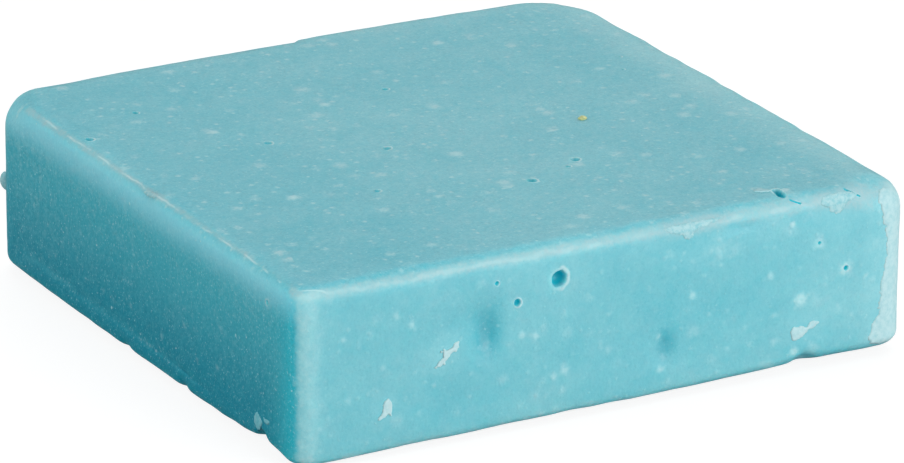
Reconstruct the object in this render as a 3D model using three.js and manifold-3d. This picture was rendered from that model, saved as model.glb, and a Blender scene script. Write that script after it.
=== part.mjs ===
// A bar of detailing clay, as it comes out of its press: one soft block with opened air bubbles,
// dents and torn edges, a grain of grit pressed into its top, and the scraps of its own clay
// that cling to it.
//
// Millimetres. +Z is up. +X runs along the front face, which looks along -Y. The origin is the
// middle of the base.

import * as THREE from "three";
import { mergeVertices } from "three/addons/utils/BufferGeometryUtils.js";
import Module from "manifold-3d";

const wasm = await Module();
wasm.setup();

// ---- Driving dimensions ------------------------------------------------------------------------

const bar = { length: 67, width: 65, height: 18.4 };

// Fillet along every top and bottom edge.
const edgeRound = 1.5;

// Radii of the four upright edges.
const cornerRadius = { frontLeft: 2.2, frontRight: 3, backRight: 8.4, backLeft: 4.2 };

// Air left between the block and whatever clings to it.
const clingGap = 0.05;

const scrapThickness = 0.35;
const skinThickness = 0.3;
const grainRadius = 0.45;
const crumbRadius = 0.6;

// Curve resolution.
const cornerSteps = 4;
const filletSteps = 4;
const ballSegments = 12;
const ballRings = 8;
const dentSegments = 36;
const capSteps = 4;
const outlineSteps = 3;

// Vertices closer than this are one vertex.
const weldDistance = 1e-4;

// ---- Places, measured from the bar's nearest end or edge -----------------------------------------

const fromLeft = (distance) => -bar.length / 2 + distance;
const fromRight = (distance) => bar.length / 2 - distance;
const fromFront = (distance) => -bar.width / 2 + distance;
const fromBack = (distance) => bar.width / 2 - distance;
const fromTop = (distance) => bar.height - distance;

// ---- Materials -----------------------------------------------------------------------------------

const clay = new THREE.MeshStandardMaterial({ color: 0x66b7c6, roughness: 0.5, metalness: 0 });
const paleClay = new THREE.MeshStandardMaterial({ color: 0xaed9de, roughness: 0.7, metalness: 0 });
const grit = new THREE.MeshStandardMaterial({ color: 0xc4bd76, roughness: 0.6, metalness: 0 });

// ---- Joining and cutting -------------------------------------------------------------------------

// A three.js geometry as a solid that can be cut.
function solidFrom(geometry) {
  const bare = geometry.clone();
  bare.deleteAttribute("normal");
  bare.deleteAttribute("uv");
  const merged = mergeVertices(bare, weldDistance);
  return new wasm.Manifold(
    new wasm.Mesh({
      numProp: 3,
      vertProperties: merged.attributes.position.array,
      triVerts: new Uint32Array(merged.index.array),
    }),
  );
}

function geometryFrom(solid) {
  const mesh = solid.getMesh();
  const geometry = new THREE.BufferGeometry();
  geometry.setAttribute("position", new THREE.BufferAttribute(mesh.vertProperties, 3));
  geometry.setIndex(new THREE.BufferAttribute(mesh.triVerts, 1));
  geometry.computeVertexNormals();
  return geometry;
}

function namedMesh(name, geometry, material) {
  const mesh = new THREE.Mesh(geometry, material);
  mesh.name = name;
  return mesh;
}

// ---- The block -----------------------------------------------------------------------------------

// The bar seen from above: a rectangle whose four corners have their own radii.
function barOutline() {
  const { frontLeft, frontRight, backRight, backLeft } = cornerRadius;
  const outline = new THREE.Shape();
  const quarter = Math.PI / 2;
  outline.absarc(fromLeft(frontLeft), fromFront(frontLeft), frontLeft, 2 * quarter, 3 * quarter);
  outline.absarc(fromRight(frontRight), fromFront(frontRight), frontRight, 3 * quarter, 4 * quarter);
  outline.absarc(fromRight(backRight), fromBack(backRight), backRight, 0, quarter);
  outline.absarc(fromLeft(backLeft), fromBack(backLeft), backLeft, quarter, 2 * quarter);
  outline.closePath();
  return outline;
}

function roundedBlock() {
  const geometry = new THREE.ExtrudeGeometry(barOutline(), {
    depth: bar.height - 2 * edgeRound,
    bevelThickness: edgeRound,
    bevelSize: edgeRound,
    bevelOffset: -edgeRound,
    bevelSegments: filletSteps,
    curveSegments: cornerSteps,
  });
  geometry.translate(0, 0, edgeRound);
  return geometry;
}

// A ball at a point, stretched along the world axes.
function ballAt(radius, position, stretch = new THREE.Vector3(1, 1, 1)) {
  const geometry = new THREE.SphereGeometry(radius, ballSegments, ballRings);
  geometry.scale(stretch.x, stretch.y, stretch.z);
  geometry.translate(position.x, position.y, position.z);
  return geometry;
}

// The three faces that carry marks. Each gives the point that lies `depth` inside the face.
const onTop = (x, y) => (depth) => new THREE.Vector3(x, y, fromTop(depth));
const onFront = (x, z) => (depth) => new THREE.Vector3(x, fromFront(depth), z);
const onLeft = (y, z) => (depth) => new THREE.Vector3(fromLeft(depth), y, z);

// An air bubble that a face cuts open: a ball of `bubble` radius that shows a round mouth.
function openBubble(place, mouth, bubble) {
  return ballAt(bubble, place(Math.sqrt(bubble ** 2 - mouth ** 2)));
}

// A shallow dimple of the given mouth radius and depth, cut by a large ball.
function dimple(place, mouth, depth) {
  const radius = (mouth ** 2 + depth ** 2) / (2 * depth);
  const geometry = new THREE.SphereGeometry(radius, dentSegments, dentSegments);
  const centre = place(depth - radius);
  geometry.translate(centre.x, centre.y, centre.z);
  return geometry;
}

const topBubbles = () => [
  openBubble(onTop(fromLeft(2.3), fromBack(19.2)), 0.4, 0.5),
  openBubble(onTop(fromLeft(8.9), fromBack(14.5)), 0.3, 0.35),
  openBubble(onTop(fromLeft(16.3), fromBack(28.3)), 0.45, 0.5),
  openBubble(onTop(fromLeft(33.9), fromBack(19.9)), 0.35, 0.4),
  openBubble(onTop(fromLeft(25.8), fromFront(29.9)), 0.4, 0.5),
  openBubble(onTop(fromLeft(19.4), fromFront(20.2)), 0.35, 0.4),
  openBubble(onTop(fromRight(33.1), fromFront(15.7)), 0.5, 0.6),
  openBubble(onTop(fromRight(26.6), fromFront(18.8)), 0.45, 0.5),
  openBubble(onTop(fromRight(28.1), fromFront(17.5)), 0.25, 0.3),
];

const frontBubbles = () => [
  openBubble(onFront(fromLeft(27.8), fromTop(3.9)), 0.8, 0.95),
  openBubble(onFront(fromLeft(23.3), fromTop(5.5)), 0.35, 0.45),
  openBubble(onFront(fromLeft(21.1), fromTop(3.2)), 0.2, 0.25),
  openBubble(onFront(fromRight(7.3), fromTop(8.4)), 0.35, 0.4),
  openBubble(onFront(fromRight(10.4), fromTop(5.3)), 0.25, 0.3),
  openBubble(onFront(fromRight(12.4), 7.6), 0.3, 0.4),
  openBubble(onFront(fromRight(13), 2.4), 0.3, 0.35),
];

const leftBubbles = () => [openBubble(onLeft(fromFront(2.7), fromTop(2.3)), 0.25, 0.3)];

const pressedDents = () => [
  dimple(onFront(fromLeft(20.1), fromTop(8)), 2.3, 0.5),
  dimple(onFront(fromRight(27.5), 5.3), 1.4, 0.4),
];

// The long pit in the top face, near the front right corner, which tore open as a slanted slot.
const pit = { x: fromRight(13.7), y: fromFront(2.4), mouth: 0.45, bubble: 0.5, reach: 0.9, turn: -0.6 };

function slantedPit() {
  const geometry = new THREE.CapsuleGeometry(pit.bubble, pit.reach, capSteps, ballSegments);
  geometry.rotateZ(pit.turn);
  geometry.translate(pit.x, pit.y, fromTop(Math.sqrt(pit.bubble ** 2 - pit.mouth ** 2)));
  return geometry;
}

// Where a lump has broken away from a bottom edge.
const leftNotch = { inFromFront: 6.4, radius: 1.1, stretch: new THREE.Vector3(1, 1, 1.2) };
const frontNotch = { inFromRight: 12.2, radius: 0.8, stretch: new THREE.Vector3(1.5, 1, 0.8) };

const bottomNotches = () => [
  ballAt(leftNotch.radius, onLeft(fromFront(leftNotch.inFromFront), 0)(0), leftNotch.stretch),
  ballAt(frontNotch.radius, onFront(fromRight(frontNotch.inFromRight), 0)(0), frontNotch.stretch),
];

// The press line low on the left face: a shallow groove along Y.
const pressLine = { radius: 0.45, height: 2.8, depth: 0.18, endMargin: 7 };

function pressGroove() {
  const run = bar.width - 2 * pressLine.endMargin - cornerRadius.backLeft;
  const geometry = new THREE.CapsuleGeometry(pressLine.radius, run, capSteps, ballSegments);
  const centre = onLeft(-run / 2 + fromBack(pressLine.endMargin), pressLine.height);
  const { x, y, z } = centre(pressLine.depth - pressLine.radius);
  geometry.translate(x, y, z);
  return geometry;
}

// The seat of the grain: its own ball, wider by the gap.
const grainSeat = { x: fromRight(20), y: fromFront(28.6), proud: 0.2 };

function grainSocket() {
  const depth = grainRadius - grainSeat.proud;
  return ballAt(grainRadius + clingGap, onTop(grainSeat.x, grainSeat.y)(depth));
}

function clayBlock() {
  const cuts = [
    ...topBubbles(),
    ...frontBubbles(),
    ...leftBubbles(),
    ...pressedDents(),
    ...bottomNotches(),
    slantedPit(),
    pressGroove(),
    grainSocket(),
  ];
  const whole = solidFrom(roundedBlock());
  const cut = cuts.reduce((solid, tool) => solid.subtract(solidFrom(tool)), whole);
  return namedMesh("clay_block", geometryFrom(cut), clay);
}

// ---- What clings to the block --------------------------------------------------------------------

// The grain is harder and rougher than the clay: an icosahedron turned so that no face lies flat.
function gritGrain() {
  const mesh = namedMesh("grit_grain", new THREE.IcosahedronGeometry(grainRadius, 0), grit);
  mesh.rotation.set(0.4, 0.3, 0.2);
  mesh.position.copy(onTop(grainSeat.x, grainSeat.y)(grainRadius - grainSeat.proud));
  return mesh;
}

// A thin scrap of clay, cut from its outline, in its own plane. Local +Z points away from the face.
function scrap(name, outline) {
  const points = outline.map(([x, y]) => new THREE.Vector2(x, y));
  const shape = new THREE.Shape();
  shape.moveTo(points[0].x, points[0].y);
  shape.splineThru([...points.slice(1), points[0]]);
  const geometry = new THREE.ExtrudeGeometry(shape, {
    depth: scrapThickness,
    bevelEnabled: false,
    curveSegments: outlineSteps,
  });
  return namedMesh(name, geometry, paleClay);
}

// Groups whose local XY plane is a face of the block, a gap outside it, with local +Z outwards.
function faceGroups() {
  const top = new THREE.Group();
  top.position.z = fromTop(-clingGap);
  const front = new THREE.Group();
  front.rotation.set(Math.PI / 2, 0, 0);
  front.position.y = fromFront(-clingGap);
  const left = new THREE.Group();
  left.rotation.set(Math.PI / 2, 0, -Math.PI / 2, "ZYX");
  left.position.x = fromLeft(-clingGap);
  return { top, front, left };
}

// Local X on the left face runs towards the front, so a place there is its distance to the front.
const leftFaceX = (distance) => bar.width / 2 - distance;

function placed(mesh, x, y) {
  mesh.position.set(x, y, 0);
  return mesh;
}

// Two round lobes joined by a neck, low on the right of the front face.
const lobedScrap = () =>
  scrap("lobed_scrap", [
    [-1.4, -0.7],
    [-0.3, -0.65],
    [0.3, -0.25],
    [1.1, 0.2],
    [1.5, 0.65],
    [0.7, 0.8],
    [0.2, 0.35],
    [-0.5, 0.45],
    [-1.45, 0.4],
  ]);

// A long thin shaving that lies aslant, with one side branch.
const longShaving = () =>
  scrap("long_shaving", [
    [-1.25, -1.3],
    [-0.6, -1.15],
    [-0.1, -0.3],
    [0.6, 0.5],
    [0.95, 1.4],
    [0.3, 0.95],
    [-0.15, 0.45],
    [-0.9, 0.85],
    [-0.55, 0.2],
    [-0.7, -0.5],
  ]);

// A torn three-cornered chip with a forked lower edge.
const tornChip = () =>
  scrap("torn_chip", [
    [-0.75, -1],
    [-0.1, -0.95],
    [0.2, -0.6],
    [0.6, -0.95],
    [0.65, -0.1],
    [0.35, 1],
    [-0.1, 0.8],
    [-0.35, 0],
  ]);

// The patch of crumbled clay smeared down from the top edge of the front face.
const crumbledPatch = () =>
  scrap("crumbled_patch", [
    [-2.6, 0.1],
    [-1.7, -0.3],
    [-1.2, -0.8],
    [-0.4, -0.75],
    [0.3, -0.2],
    [1.6, 0],
    [2.7, 0.35],
    [1.4, 0.55],
    [-0.6, 0.5],
  ]);

// A lip that was folded over the top edge and pressed on, right of the patch.
const foldedLip = () =>
  scrap("folded_lip", [
    [-2, 0.1],
    [-1.2, -0.25],
    [-0.8, -0.75],
    [0, -0.85],
    [0.6, -0.4],
    [1.5, 0.1],
    [2, 0.5],
    [0.4, 0.6],
    [-1.2, 0.45],
  ]);

// A small flake lifted at the rim of the pit in the top face.
const pitFlake = () =>
  scrap("pit_flake", [
    [-0.8, -0.25],
    [0.1, -0.35],
    [0.6, 0],
    [0.2, 0.35],
    [-0.6, 0.3],
  ]);

// A chip that stands on the ridge of the top left edge.
const ridgeChip = () =>
  scrap("ridge_chip", [
    [-0.4, -0.9],
    [0.3, -0.6],
    [0.45, 0.3],
    [0.1, 1],
    [-0.35, 0.5],
  ]);

// Two crumbs that hang above the notch in the bottom left edge.
const notchCrumb = () =>
  scrap("notch_crumb", [
    [-0.9, -0.4],
    [-0.1, -0.7],
    [0.7, -0.2],
    [0.6, 0.5],
    [-0.2, 0.75],
    [-0.8, 0.4],
  ]);
const notchFleck = () =>
  scrap("notch_fleck", [
    [-0.45, -0.2],
    [0.2, -0.3],
    [0.5, 0.1],
    [0, 0.35],
    [-0.4, 0.2],
  ]);

// A round crumb stuck to the rounded back left corner, out along the corner's own radius.
const nodule = { bearing: THREE.MathUtils.degToRad(149), belowTop: 8.3, tallness: 1.3 };

function sideNodule() {
  const radius = cornerRadius.backLeft;
  const reach = radius + clingGap + crumbRadius;
  const mesh = namedMesh("side_nodule", ballAt(crumbRadius, new THREE.Vector3()), paleClay);
  mesh.position.set(
    fromLeft(radius) + reach * Math.cos(nodule.bearing),
    fromBack(radius) + reach * Math.sin(nodule.bearing),
    fromTop(nodule.belowTop),
  );
  mesh.scale.z = nodule.tallness;
  return mesh;
}

// The skin of smeared clay wrapped around the front right upright edge, between the two fillets.
const skinFlange = { front: 0.9, right: 0.5 };

function cornerSkin() {
  const radius = cornerRadius.frontRight;
  const inner = radius + clingGap;
  const outer = inner + skinThickness;
  const outline = new THREE.Shape();
  outline.moveTo(-skinFlange.front, -outer);
  outline.absarc(0, 0, outer, 1.5 * Math.PI, 2 * Math.PI);
  outline.lineTo(outer, skinFlange.right);
  outline.lineTo(inner, skinFlange.right);
  outline.absarc(0, 0, inner, 2 * Math.PI, 1.5 * Math.PI, true);
  outline.lineTo(-skinFlange.front, -inner);
  outline.closePath();
  const geometry = new THREE.ExtrudeGeometry(outline, {
    depth: bar.height - 2 * edgeRound,
    bevelEnabled: false,
    curveSegments: cornerSteps,
  });
  const mesh = namedMesh("corner_skin", geometry, paleClay);
  mesh.position.set(fromRight(radius), fromFront(radius), edgeRound);
  return mesh;
}

// ---- The bar -------------------------------------------------------------------------------------

function clayBar() {
  const group = new THREE.Group();
  const { top, front, left } = faceGroups();
  top.add(
    placed(pitFlake(), fromRight(15.1), fromFront(3.6)),
    placed(ridgeChip(), fromLeft(edgeRound + 0.5), fromFront(30.4)),
  );
  front.add(
    placed(lobedScrap(), fromRight(11.8), 4.4),
    placed(longShaving(), fromLeft(15.8), fromTop(9.4)),
    placed(tornChip(), fromLeft(9.3), 4.9),
    placed(crumbledPatch(), fromRight(24.2), fromTop(edgeRound + 0.7)),
    placed(foldedLip(), fromRight(8.1), fromTop(edgeRound + 0.7)),
  );
  left.add(
    placed(notchCrumb(), leftFaceX(leftNotch.inFromFront + 1.4), 3.2),
    placed(notchFleck(), leftFaceX(leftNotch.inFromFront - 0.4), 4.1),
  );
  group.add(clayBlock(), gritGrain(), sideNodule(), cornerSkin(), top, front, left);
  return group;
}

export default clayBar();
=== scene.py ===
import math

import bmesh
import bpy
import numpy as np
from mathutils import Matrix, Vector


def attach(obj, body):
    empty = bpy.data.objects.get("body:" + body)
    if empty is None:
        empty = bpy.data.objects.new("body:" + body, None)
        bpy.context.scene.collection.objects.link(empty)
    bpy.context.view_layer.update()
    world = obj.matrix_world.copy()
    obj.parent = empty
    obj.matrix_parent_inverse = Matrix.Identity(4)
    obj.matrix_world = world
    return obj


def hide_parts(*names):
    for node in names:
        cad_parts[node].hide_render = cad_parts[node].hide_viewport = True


# A bar of detailing clay. All sizes here are millimetres in the CAD frame: the origin is the middle
# of the base, +Z is up and the front face looks along -Y. Meshes are turned into metres at the end.

MM = 0.001

LENGTH, WIDTH, HEIGHT = 67.0, 65.0, 18.4
RIGHT, FRONT, LEFT, BACK = LENGTH / 2, -WIDTH / 2, -LENGTH / 2, WIDTH / 2

# Radii of the four upright edges, by side of X and side of Y.
FRONT_LEFT_RADIUS, FRONT_RIGHT_RADIUS = 2.2, 3.0
BACK_LEFT_RADIUS, BACK_RIGHT_RADIUS = 4.2, 8.4

# Radii of the top and bottom edges where they are tightest.
TOP_FILLET, BOTTOM_FILLET = 1.55, 0.7

# How far each face bows out at its middle, the top's back edge too.
TOP_BOW, TOP_BACK_BOW, RIGHT_BOW, BACK_BOW = 0.19, 0.20, 0.27, 0.38

# How far the top rises from its middle to its back and to its right edge.
RISE_TO_BACK, RISE_TO_RIGHT = 0.41, 0.08

# The width of the base's rim, how far it curls up, and how much more or less in four places.
BASE_RIM, BASE_CURL, CURL_AT_RIGHT, CURL_AT_MIDDLE = 9.0, 0.60, 0.34, 0.20
CURL_AT_NOTCH, SAG_AT_CORNER = 0.50, 0.22

# The skin's unevenness, from coarse to fine: height, grain, seed.
WAVES = [(0.07, 7.0, 1), (0.030, 2.6, 2), (0.010, 0.9, 3)]
EDGE_WOBBLE = 0.16

# The line that the press left low on the left face: a lip below it and a groove above it.
PRESS_LINE_HEIGHT, PRESS_LINE_SLOPE = 2.6, 0.03
PRESS_LIP, PRESS_GROOVE, PRESS_GROOVE_WIDTH = 0.06, 0.16, 0.24

# The block mesh's steps on the flats, up the sides and near the edges, and how far "near" is.
FLAT_STEP, UPRIGHT_STEP, EDGE_STEP, EDGE_MARGIN = 0.60, 0.45, 0.26, 2.6

# How many times its edges are halved around openings, and around softer marks.
OPENING_LEVELS, SOFT_LEVELS = 3, 2

# A bubble's depth for its mouth's radius, and the height of the faint rim around any opening.
BUBBLE_DEPTH, RIM_HEIGHT = 1.3, 0.04

# A halo's mound, and the pinhole in those of a larger radius than the last value.
HALO_MOUND, PINHOLE_DEPTH, PINHOLE_FROM = 0.05, 0.09, 0.5

# How much pale haze each face takes, partly real bloom and partly a painted sheen that is strongest
# where the light falls, and how speckled each face is.
BLOOM_AND_SHEEN_ON = {"front": 0.48, "top": 0.34, "left": 0.04, "right": 0.42, "back": 0.36}
SPECKLE_ON = {"top": 0.50, "left": 0.70, "front": 0.24, "right": 0.36, "back": 0.36}

# How far the skin has turned from upright (0) to flat (1) where the painted highlight line runs.
FRONT_CREST, LEFT_CREST = 0.30, 0.62

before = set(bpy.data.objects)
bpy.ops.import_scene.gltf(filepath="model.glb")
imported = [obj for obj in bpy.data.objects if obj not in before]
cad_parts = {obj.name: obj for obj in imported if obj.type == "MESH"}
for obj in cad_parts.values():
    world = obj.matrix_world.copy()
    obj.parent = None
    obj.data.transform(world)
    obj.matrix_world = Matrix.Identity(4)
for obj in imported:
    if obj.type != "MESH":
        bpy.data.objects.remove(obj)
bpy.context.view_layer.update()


# ---- Small tools ----


def smoothstep(low, high, value):
    """0 below low, 1 above high, and a smooth rise between."""
    t = np.clip((value - low) / (high - low), 0.0, 1.0)
    return t * t * (3.0 - 2.0 * t)


def bell(value, width):
    """1 at zero, falling away to nothing at about twice the width."""
    return np.exp(-((value / width) ** 2))


LATTICE_SIZE = 32


def noise(points, grain, seed):
    """Smooth noise from -1 to 1 whose lumps are about one grain (mm) across."""
    shape = (LATTICE_SIZE, LATTICE_SIZE, LATTICE_SIZE)
    lattice = np.random.default_rng(seed).uniform(-1.0, 1.0, shape)
    scaled = points / grain + 0.37 * LATTICE_SIZE
    cell = np.floor(scaled).astype(int)
    t = scaled - cell
    t = t * t * (3.0 - 2.0 * t)
    low, high = cell % LATTICE_SIZE, (cell + 1) % LATTICE_SIZE
    total = np.zeros(len(points))
    for corner in np.ndindex(2, 2, 2):
        i, j, k = (np.where(corner, high, low)).T
        wx, wy, wz = (np.where(corner, t, 1.0 - t)).T
        total += wx * wy * wz * lattice[i, j, k]
    return total


# ---- The bar's faces ----

# A face's origin, the directions of its two coordinates, and its outward normal.
FACES = {
    "top": ((0, 0, HEIGHT), (1, 0, 0), (0, 1, 0), (0, 0, 1)),
    "front": ((0, FRONT, 0), (1, 0, 0), (0, 0, 1), (0, -1, 0)),
    "left": ((LEFT, 0, 0), (0, 1, 0), (0, 0, 1), (-1, 0, 0)),
    "back": ((0, BACK, 0), (1, 0, 0), (0, 0, 1), (0, 1, 0)),
    "right": ((RIGHT, 0, 0), (0, 1, 0), (0, 0, 1), (1, 0, 0)),
}


def on_face(face, u, v):
    """The point at coordinates u and v of a face."""
    origin, along_u, along_v, _ = (np.array(vector, float) for vector in FACES[face])
    return origin + np.multiply.outer(u, along_u) + np.multiply.outer(v, along_v)


def face_offsets(points, face, u, v, angle=0.0):
    """How far points lie from a place on a face: along its turned u and v, and out of the face."""
    _, along_u, along_v, normal = (np.array(vector, float) for vector in FACES[face])
    arm = points - on_face(face, u, v)
    du, dv = arm @ along_u, arm @ along_v
    cos, sin = math.cos(angle), math.sin(angle)
    return du * cos + dv * sin, dv * cos - du * sin, arm @ normal


# ---- Marks on the faces ----

# Opened air bubbles on each face: u, v, mouth radius.
BUBBLES = {
    "top": [
        (-32.0, 13.3, 0.42), (-24.6, 18.0, 0.3), (-17.2, 4.2, 0.42), (0.4, 12.6, 0.34),
        (-7.7, -2.6, 0.4), (-14.1, -12.3, 0.32), (0.4, -16.8, 0.48), (6.9, -13.7, 0.44),
        (5.4, -15.0, 0.26), (26.3, 10.5, 0.2), (24.6, 7.1, 0.2),
    ],
    "front": [
        (-5.7, 14.5, 0.8), (-10.2, 12.9, 0.36), (-12.4, 15.2, 0.22), (26.2, 10.0, 0.26),
        (23.1, 13.1, 0.17),
    ],
    "left": [
        (-26.7, 15.1, 0.26),
    ],
    "back": [
        (12.0, 10.5, 0.45), (-8.5, 6.0, 0.3), (-19.0, 12.8, 0.25),
    ],
    "right": [
        (9.5, 8.8, 0.5), (-6.0, 12.5, 0.28), (19.0, 5.0, 0.3),
    ],
}

# Pale rings and spots where a bubble lies just under the skin: u, v, radius, strength.
HALOS = {
    "front": [
        (26.2, 10.0, 0.75, 0.9), (23.1, 13.1, 0.7, 0.7), (21.1, 7.6, 0.75, 1.0),
        (20.5, 2.4, 0.55, 0.9), (20.0, 15.5, 0.45, 0.8), (17.6, 10.7, 0.4, 0.7),
        (18.2, 6.6, 0.4, 0.5), (18.3, 3.8, 0.5, 0.6), (28.5, 8.8, 0.35, 0.6),
        (25.5, 5.9, 0.45, 0.5), (27.0, 5.1, 0.35, 0.5), (12.0, 12.8, 0.35, 0.6),
        (9.0, 10.2, 0.45, 0.8), (10.3, 12.0, 0.35, 0.5), (12.6, 6.8, 0.45, 0.4),
        (-0.3, 10.0, 0.4, 0.5), (-0.3, 6.4, 0.45, 0.5), (5.4, 6.7, 0.35, 0.6),
        (5.5, 3.3, 0.45, 0.6), (13.0, 4.1, 0.35, 0.5), (-5.0, 5.2, 0.6, 0.7),
        (-6.2, 4.8, 0.45, 0.6), (-5.2, 3.2, 0.5, 0.5), (-8.3, 9.3, 0.5, 0.7),
        (-9.7, 9.6, 0.45, 0.7), (-10.2, 12.9, 0.6, 0.6), (-12.4, 15.2, 0.45, 0.6),
        (-21.4, 12.7, 0.45, 0.7), (-23.1, 13.8, 0.4, 0.6), (-28.7, 12.5, 0.35, 0.6),
        (-24.5, 9.0, 0.4, 0.5), (-28.2, 6.3, 0.45, 0.5), (-31.2, 4.2, 0.4, 0.5),
        (-20.6, 3.8, 0.35, 0.5), (22.6, 2.3, 0.9, 0.5), (17.5, 1.6, 1.1, 0.4),
        (12.0, 14.3, 1.6, 0.42), (19.6, 15.0, 1.1, 0.42),
    ],
    "top": [
        (11.9, 22.5, 0.7, 0.7), (-2.6, -7.0, 0.8, 0.8), (2.6, 14.3, 0.45, 0.6),
        (-22.1, -10.3, 0.7, 0.8), (-20.5, 9.3, 0.6, 0.8), (-18.5, 7.5, 0.45, 0.6),
        (-7.1, 11.3, 0.7, 0.7), (-5.0, 12.9, 0.45, 0.6), (20.7, -30.0, 0.5, 0.9),
    ],
    "left": [
        (-26.7, 15.1, 0.65, 0.55), (-22.4, 13.4, 0.4, 0.36), (-20.0, 8.8, 0.4, 0.34),
        (-17.3, 9.4, 0.5, 0.38), (-16.5, 5.3, 0.45, 0.42), (-12.5, 4.7, 0.4, 0.4),
        (-9.8, 7.3, 0.45, 0.44), (-4.9, 4.5, 0.5, 0.44), (-4.1, 9.4, 0.4, 0.36),
        (1.7, 5.5, 0.4, 0.36), (5.4, 4.8, 0.45, 0.38), (7.5, 5.1, 0.35, 0.34),
        (12.4, 9.5, 0.5, 0.42), (13.4, 6.4, 0.4, 0.36), (18.1, 5.3, 0.4, 0.34),
        (22.8, 9.0, 0.45, 0.36),
    ],
}

# The pit and the cracks, as long cuts: face, u, v, half length, turn, half width, depth.
SLOTS = [
    ("top", 19.7, -30.5, 0.75, 1.35, 0.42, 0.65),
    ("front", 20.5, 17.6, 0.52, -0.43, 0.09, 0.2),
    ("front", 27.0, 17.4, 0.85, -0.51, 0.09, 0.2),
]

# Bites out of the bottom edge: face, u, v, radius, depth.
BREAKS = [
    ("left", -25.2, 0.7, 1.2, 1.1),
    ("front", 21.8, 0.8, 1.5, 0.5),
    ("left", -9.3, 0.8, 1.2, 0.24),
    ("left", 3.0, 0.8, 1.2, 0.16),
]

# Where the scraps of clay lie: face, u, v, and how far around that no light soaks into the block.
SCRAP_PLACES = {
    "lobed_scrap": ("front", 21.7, 4.4, 1.7),
    "long_shaving": ("front", -17.7, 9.0, 1.7),
    "torn_chip": ("front", -24.2, 4.9, 1.2),
    "crumbled_patch": ("front", 9.0, 16.9, 3.2),
    "folded_lip": ("front", 25.4, 16.9, 2.7),
    "pit_flake": ("top", 18.7, -29.3, 1.0),
    "notch_crumb": ("left", -24.6, 2.7, 1.0),
    "notch_fleck": ("left", -26.4, 3.2, 0.6),
}

# Soft hollows: face, u, v, half width, half height, depth.
HOLLOWS = [
    ("front", -13.4, 10.3, 1.2, 2.2, 0.8),
    ("front", -15.5, 12.3, 3.4, 1.6, 0.16),
    ("front", 6.0, 5.3, 0.9, 1.5, 0.5),
    ("front", -17.4, 4.5, 2.6, 2.2, 0.16),
    ("front", 14.5, 16.2, 2.0, 0.5, 0.18),
    ("back", 6.0, 9.0, 3.4, 2.4, 0.3),
    ("right", -14.0, 8.0, 2.6, 2.0, 0.3),
]


def placed(marks):
    """The rows of a table of marks by face, each with its face."""
    return [(face, *row) for face, rows in marks.items() for row in rows]


# ---- The block's shape ----


def corner_radius(x, y):
    left = np.where(y < 0, FRONT_LEFT_RADIUS, BACK_LEFT_RADIUS)
    right = np.where(y < 0, FRONT_RIGHT_RADIUS, BACK_RIGHT_RADIUS)
    return np.where(x < 0, left, right)


def inset_from_outline(x, y):
    """Signed distance from the bar's outline as seen from above, negative inside."""
    radius = corner_radius(x, y)
    past_x = np.abs(x) - LENGTH / 2 + radius
    past_y = np.abs(y) - WIDTH / 2 + radius
    outside = np.hypot(np.maximum(past_x, 0.0), np.maximum(past_y, 0.0))
    return np.minimum(np.maximum(past_x, past_y), 0.0) + outside - radius


def towards_right(x):
    """0 at the middle of the bar, 1 well to its right."""
    return smoothstep(4.0, 26.0, x)


def base_lift(x, y):
    """How far the rim of the base curls up: most at the right, and by the notch on the left."""
    rim = smoothstep(-BASE_RIM, 0.0, inset_from_outline(x, y))
    at_corner = bell(np.hypot(x - LEFT, y - FRONT), 7.0)
    at_notch = smoothstep(LEFT + 5.0, LEFT + 1.0, x) * bell(y + 26.0, 5.0)
    curl = BASE_CURL + CURL_AT_RIGHT * towards_right(x) + CURL_AT_MIDDLE * bell(x, 15.0)
    return rim * (curl - SAG_AT_CORNER * at_corner + CURL_AT_NOTCH * at_notch)


def unbowed(points):
    """Takes out the bar's slight bows: back, right and top bulge, the top tilts, the base curls."""
    x, y, z = points.T
    u, v = x / RIGHT, y / BACK
    top_lift = TOP_BOW * (1.0 - u**2) * (1.0 - v**2) + RISE_TO_BACK * v + RISE_TO_RIGHT * u
    top_lift += TOP_BACK_BOW * (1.0 - u**2) * np.maximum(v, 0.0)
    plain = points.copy()
    plain[:, 0] -= RIGHT_BOW * np.maximum(u, 0.0) * (1.0 - v**2)
    plain[:, 1] -= BACK_BOW * np.maximum(v, 0.0) * (1.0 - u**2)
    plain[:, 2] -= top_lift * z / HEIGHT + base_lift(x, y) * (1.0 - z / HEIGHT)
    return plain


def top_fillet(x, y):
    """Tight along the front, tighter on the left, and worn rounder to the right and the back."""
    tighter_left = 0.35 * smoothstep(LEFT + 6.0, LEFT + 2.0, x)
    worn_right = 2.2 * smoothstep(RIGHT - 7.0, RIGHT - 3.5, x)
    worn_back = (1.9 + 0.7 * (x < 0)) * smoothstep(BACK - 9.0, BACK - 3.5, y)
    return TOP_FILLET - tighter_left + np.maximum(worn_right, worn_back)


def bottom_fillet(x, y):
    return BOTTOM_FILLET + 0.6 * towards_right(x) + 0.5 * smoothstep(0.0, BACK, y)


def block_distance(points):
    """Signed distance from the block's skin, without its opened bubbles."""
    x, y, z = unbowed(points).T
    fillet = np.where(z > HEIGHT / 2, top_fillet(x, y), bottom_fillet(x, y))
    out = inset_from_outline(x, y) + fillet
    up = np.abs(z - HEIGHT / 2) - HEIGHT / 2 + fillet
    corner = np.hypot(np.maximum(out, 0.0), np.maximum(up, 0.0))
    return np.minimum(np.maximum(out, up), 0.0) + corner - fillet - swell(points)


def swell(points):
    """How far the skin stands out of the plain rounded bar."""
    above_base = smoothstep(0.0, 1.5, points[:, 2])
    waves = sum(height * noise(points, grain, seed) for height, grain, seed in WAVES)
    raised = waves + edge_wobble(points) + press_lip(points)
    return above_base * raised - hollow_depth(points)


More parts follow.
